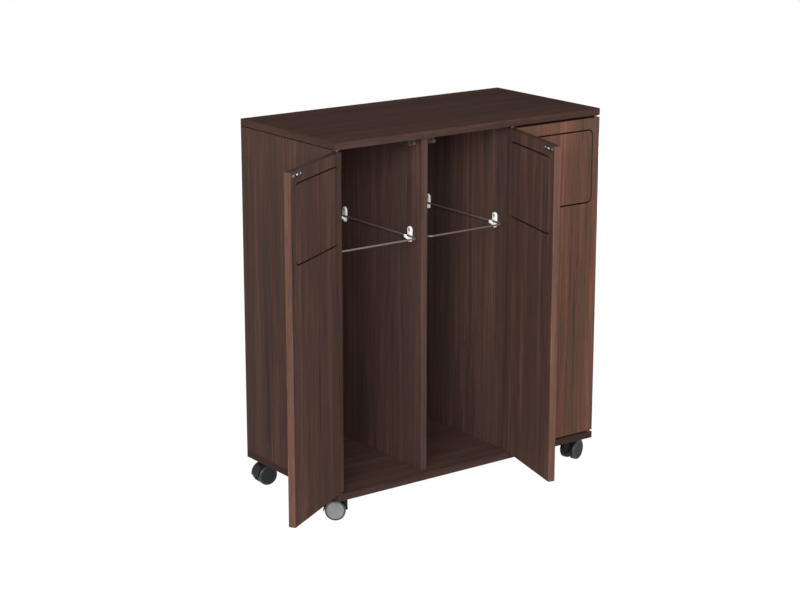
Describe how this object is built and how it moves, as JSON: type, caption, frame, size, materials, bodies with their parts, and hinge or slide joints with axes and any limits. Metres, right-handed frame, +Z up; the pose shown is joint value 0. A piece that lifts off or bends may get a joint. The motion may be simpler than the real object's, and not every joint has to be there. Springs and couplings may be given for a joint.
{
  "type": "waste sorting cabinet",
  "caption": "Waste sorting cabinet on swivel casters, with pivot-hung doors, push-in flaps, wire bag rings on wall hooks and touch latches.",
  "frame": {"origin": "on the floor under the centre of the carcass", "axes": "+X to the right seen from the front, +Y to the back, +Z up"},
  "size_m": [0.8856, 0.5583, 0.803],
  "materials": {
    "walnut_board": "dark walnut melamine on particle board, satin",
    "back_board": "dark walnut paper on thin hardboard",
    "zinc_steel": "zinc plated",
    "strike_steel": "nickel plated pressing",
    "ring_wire": "drawn wire, chrome plated",
    "beech_dowel": "plain beech",
    "white_plastic": "moulded, semi-gloss",
    "nylon_bush": "moulded nylon",
    "latch_plastic": "moulded, fine texture",
    "plunger_plastic": "moulded, smooth",
    "caster_plate_steel": "zinc plated pressing",
    "caster_hood_plastic": "moulded nylon, satin",
    "caster_wheel_plastic": "moulded nylon, satin"
  },
  "bodies": {
    "cabinet": {"top_panel": "walnut_board", "bottom_panel": "walnut_board", "left_side_panel": "walnut_board", "right_side_panel": "walnut_board", "left_divider": "walnut_board", "right_divider": "walnut_board", "back_panel": "back_board", "cam_locks": "zinc_steel", "cam_bolts": "zinc_steel", "wood_dowels": "beech_dowel", "base_screws": "zinc_steel", "ring_hooks": "white_plastic", "hook_screws": "zinc_steel", "left_latch_housing": "latch_plastic", "middle_latch_housing": "latch_plastic", "right_latch_housing": "latch_plastic", "latch_screws": "zinc_steel", "pivot_bushes": "nylon_bush", "caster_screws": "zinc_steel", "front_left_caster_plate": "caster_plate_steel", "front_right_caster_plate": "caster_plate_steel", "rear_left_caster_plate": "caster_plate_steel", "rear_right_caster_plate": "caster_plate_steel"},
    "left_door": {"left_door": "walnut_board", "left_door_pins": "zinc_steel", "left_flap_pins": "zinc_steel", "left_strike_plate": "strike_steel"},
    "left_flap": {"left_flap": "walnut_board"},
    "left_latch_plunger": {"left_latch_plunger": "plunger_plastic"},
    "left_bag_ring": {"left_bag_ring": "ring_wire"},
    "middle_door": {"middle_door": "walnut_board", "middle_door_pins": "zinc_steel", "middle_flap_pins": "zinc_steel", "middle_strike_plate": "strike_steel"},
    "middle_flap": {"middle_flap": "walnut_board"},
    "middle_latch_plunger": {"middle_latch_plunger": "plunger_plastic"},
    "middle_bag_ring": {"middle_bag_ring": "ring_wire"},
    "right_door": {"right_door": "walnut_board", "right_door_pins": "zinc_steel", "right_flap_pins": "zinc_steel", "right_strike_plate": "strike_steel"},
    "right_flap": {"right_flap": "walnut_board"},
    "right_latch_plunger": {"right_latch_plunger": "plunger_plastic"},
    "right_bag_ring": {"right_bag_ring": "ring_wire"},
    "front_left_caster": {"front_left_caster_hood": "caster_hood_plastic", "front_left_caster_axle": "zinc_steel"},
    "front_left_caster_left_wheel": {"front_left_caster_left_wheel": "caster_wheel_plastic"},
    "front_left_caster_right_wheel": {"front_left_caster_right_wheel": "caster_wheel_plastic"},
    "front_right_caster": {"front_right_caster_hood": "caster_hood_plastic", "front_right_caster_axle": "zinc_steel"},
    "front_right_caster_left_wheel": {"front_right_caster_left_wheel": "caster_wheel_plastic"},
    "front_right_caster_right_wheel": {"front_right_caster_right_wheel": "caster_wheel_plastic"},
    "rear_left_caster": {"rear_left_caster_hood": "caster_hood_plastic", "rear_left_caster_axle": "zinc_steel"},
    "rear_left_caster_left_wheel": {"rear_left_caster_left_wheel": "caster_wheel_plastic"},
    "rear_left_caster_right_wheel": {"rear_left_caster_right_wheel": "caster_wheel_plastic"},
    "rear_right_caster": {"rear_right_caster_hood": "caster_hood_plastic", "rear_right_caster_axle": "zinc_steel"},
    "rear_right_caster_left_wheel": {"rear_right_caster_left_wheel": "caster_wheel_plastic"},
    "rear_right_caster_right_wheel": {"rear_right_caster_right_wheel": "caster_wheel_plastic"}
  },
  "joints": [
    {"name": "left_door_swing", "type": "hinge", "parent": "cabinet", "child": "left_door", "pos_m": [-0.339, -0.1675, 0.429], "axis": [0, 0, 1], "range_deg": [-20.5, 149.5]},
    {"name": "left_flap_swing", "type": "hinge", "parent": "left_door", "child": "left_flap", "pos_m": [-0.43111, -0.22176, 0.74482], "axis": [-0.8616, -0.5075, 0], "range_deg": [0, 80]},
    {"name": "left_latch_push", "type": "slide", "parent": "cabinet", "child": "left_latch_plunger", "axis": [0, 1, 0], "range_m": [0, 0.004], "stiffness_N_per_m": 300},
    {"name": "left_ring_lift", "type": "slide", "parent": "cabinet", "child": "left_bag_ring", "axis": [0, 0, 1], "range_m": [0, 0.06]},
    {"name": "middle_door_swing", "type": "hinge", "parent": "cabinet", "child": "middle_door", "pos_m": [0.10691, -0.1675, 0.429], "axis": [0, 0, 1], "range_deg": [-75.1, 14.9]},
    {"name": "middle_flap_swing", "type": "hinge", "parent": "middle_door", "child": "middle_flap", "pos_m": [0.07942, -0.27081, 0.74482], "axis": [0.2571, 0.9664, 0], "range_deg": [0, 80]},
    {"name": "middle_latch_push", "type": "slide", "parent": "cabinet", "child": "middle_latch_plunger", "axis": [0, 1, 0], "range_m": [0, 0.004], "stiffness_N_per_m": 300},
    {"name": "middle_ring_lift", "type": "slide", "parent": "cabinet", "child": "middle_bag_ring", "axis": [0, 0, 1], "range_m": [0, 0.06]},
    {"name": "right_door_swing", "type": "hinge", "parent": "cabinet", "child": "right_door", "pos_m": [0.339, -0.1675, 0.429], "axis": [0, 0, 1], "range_deg": [0, 170]},
    {"name": "right_flap_swing", "type": "hinge", "parent": "right_door", "child": "right_flap", "pos_m": [0.23209, -0.1675, 0.74482], "axis": [1, 0, 0], "range_deg": [0, 80]},
    {"name": "right_latch_push", "type": "slide", "parent": "cabinet", "child": "right_latch_plunger", "axis": [0, 1, 0], "range_m": [0, 0.004], "stiffness_N_per_m": 300},
    {"name": "right_ring_lift", "type": "slide", "parent": "cabinet", "child": "right_bag_ring", "axis": [0, 0, 1], "range_m": [0, 0.06]},
    {"name": "front_left_caster_swivel", "type": "hinge", "parent": "cabinet", "child": "front_left_caster", "pos_m": [-0.3065, -0.138, 0.04], "axis": [0, 0, 1], "continuous": true},
    {"name": "front_left_caster_left_wheel_spin", "type": "hinge", "parent": "front_left_caster", "child": "front_left_caster_left_wheel", "pos_m": [-0.32063, -0.12684, 0.022], "axis": [-0.6198, -0.7848, 0], "continuous": true},
    {"name": "front_left_caster_right_wheel_spin", "type": "hinge", "parent": "front_left_caster", "child": "front_left_caster_right_wheel", "pos_m": [-0.32063, -0.12684, 0.022], "axis": [-0.6198, -0.7848, 0], "continuous": true},
    {"name": "front_right_caster_swivel", "type": "hinge", "parent": "cabinet", "child": "front_right_caster", "pos_m": [0.3065, -0.138, 0.04], "axis": [0, 0, 1], "continuous": true},
    {"name": "front_right_caster_left_wheel_spin", "type": "hinge", "parent": "front_right_caster", "child": "front_right_caster_left_wheel", "pos_m": [0.32371, -0.13274, 0.022], "axis": [-0.2924, 0.9563, 0], "continuous": true},
    {"name": "front_right_caster_right_wheel_spin", "type": "hinge", "parent": "front_right_caster", "child": "front_right_caster_right_wheel", "pos_m": [0.32371, -0.13274, 0.022], "axis": [-0.2924, 0.9563, 0], "continuous": true},
    {"name": "rear_left_caster_swivel", "type": "hinge", "parent": "cabinet", "child": "rear_left_caster", "pos_m": [-0.3065, 0.138, 0.04], "axis": [0, 0, 1], "continuous": true},
    {"name": "rear_left_caster_left_wheel_spin", "type": "hinge", "parent": "rear_left_caster", "child": "rear_left_caster_left_wheel", "pos_m": [-0.32443, 0.13957, 0.022], "axis": [-0.0872, -0.9962, 0], "continuous": true},
    {"name": "rear_left_caster_right_wheel_spin", "type": "hinge", "parent": "rear_left_caster", "child": "rear_left_caster_right_wheel", "pos_m": [-0.32443, 0.13957, 0.022], "axis": [-0.0872, -0.9962, 0], "continuous": true},
    {"name": "rear_right_caster_swivel", "type": "hinge", "parent": "cabinet", "child": "rear_right_caster", "pos_m": [0.3065, 0.138, 0.04], "axis": [0, 0, 1], "continuous": true},
    {"name": "rear_right_caster_left_wheel_spin", "type": "hinge", "parent": "rear_right_caster", "child": "rear_right_caster_left_wheel", "pos_m": [0.32281, 0.14561, 0.022], "axis": [-0.4226, 0.9063, 0], "continuous": true},
    {"name": "rear_right_caster_right_wheel_spin", "type": "hinge", "parent": "rear_right_caster", "child": "rear_right_caster_right_wheel", "pos_m": [0.32281, 0.14561, 0.022], "axis": [-0.4226, 0.9063, 0], "continuous": true}
  ]
}
